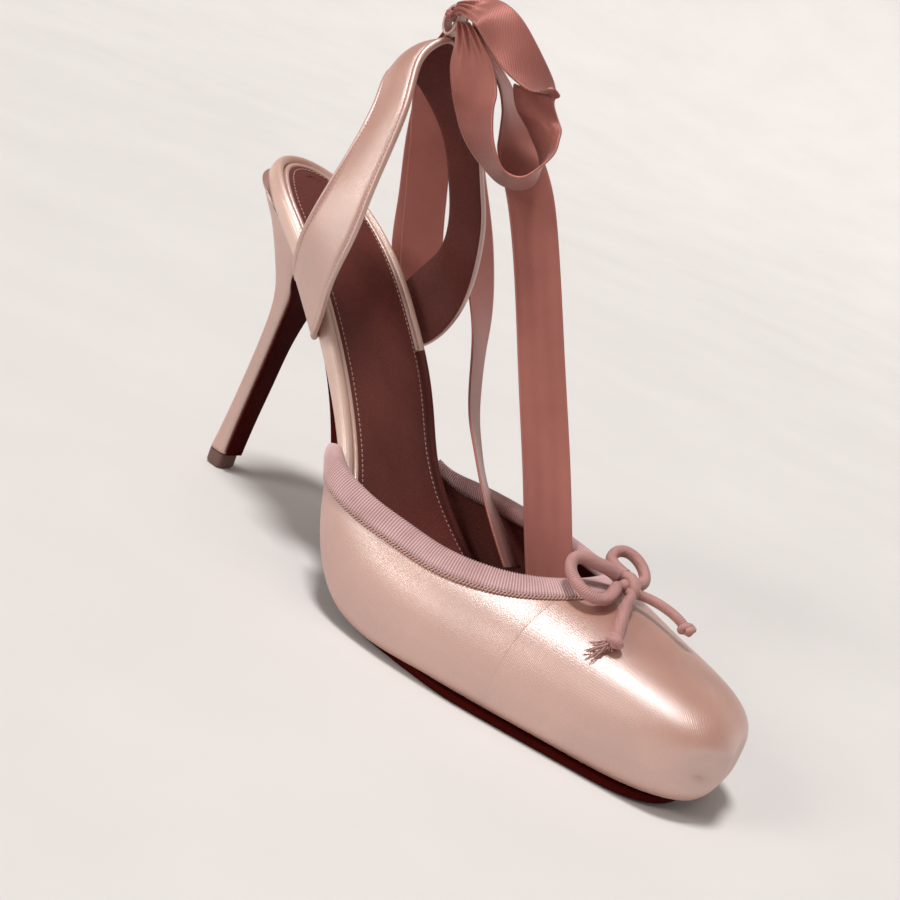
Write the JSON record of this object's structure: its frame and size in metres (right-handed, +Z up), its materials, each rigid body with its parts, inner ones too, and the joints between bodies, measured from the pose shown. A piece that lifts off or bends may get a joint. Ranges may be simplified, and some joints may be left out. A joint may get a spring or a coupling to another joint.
{
  "type": "high heel",
  "caption": "Right-foot satin slingback with a square ballet toe, cord bow, slim stiletto heel and a looped ankle ribbon.",
  "frame": {"origin": "middle of the heel tip's face on the floor", "axes": "+X towards the toe along the shoe, +Y to the wearer's left (the inner side of this right shoe), +Z up from the floor"},
  "size_m": [0.2225, 0.0967, 0.1735],
  "materials": {
    "blush_satin": "blush satin over a backed wall, soft sheen",
    "champagne_satin": "champagne satin round the footbed's padded rim",
    "rose_leather": "smooth dusty-rose lining leather",
    "grosgrain": "ribbed grosgrain tape",
    "ribbon_satin": "fine twill satin ribbon",
    "cord_cotton": "woven cotton cord",
    "oxblood_leather": "glazed oxblood sole leather",
    "tip_rubber": "matt heel-tip rubber"
  },
  "bodies": {
    "root": {"outsole": "oxblood_leather", "heel": "blush_satin", "heel_tip": "tip_rubber", "insole": "champagne_satin", "sock_lining": "rose_leather", "vamp": "blush_satin", "topline_binding": "grosgrain", "slingback_strap": "blush_satin", "ribbon_keeper": "blush_satin", "ribbon_knot": "ribbon_satin", "ribbon_front_loop": "ribbon_satin", "ribbon_rear_loop": "ribbon_satin", "ribbon_near_end": "ribbon_satin", "ribbon_far_end": "ribbon_satin", "bow_knot": "cord_cotton", "bow_outer_loop": "cord_cotton", "bow_inner_loop": "cord_cotton", "bow_outer_end": "cord_cotton", "bow_inner_end": "cord_cotton", "bow_outer_end_knot": "cord_cotton", "bow_inner_end_knot": "cord_cotton"}
  },
  "joints": []
}
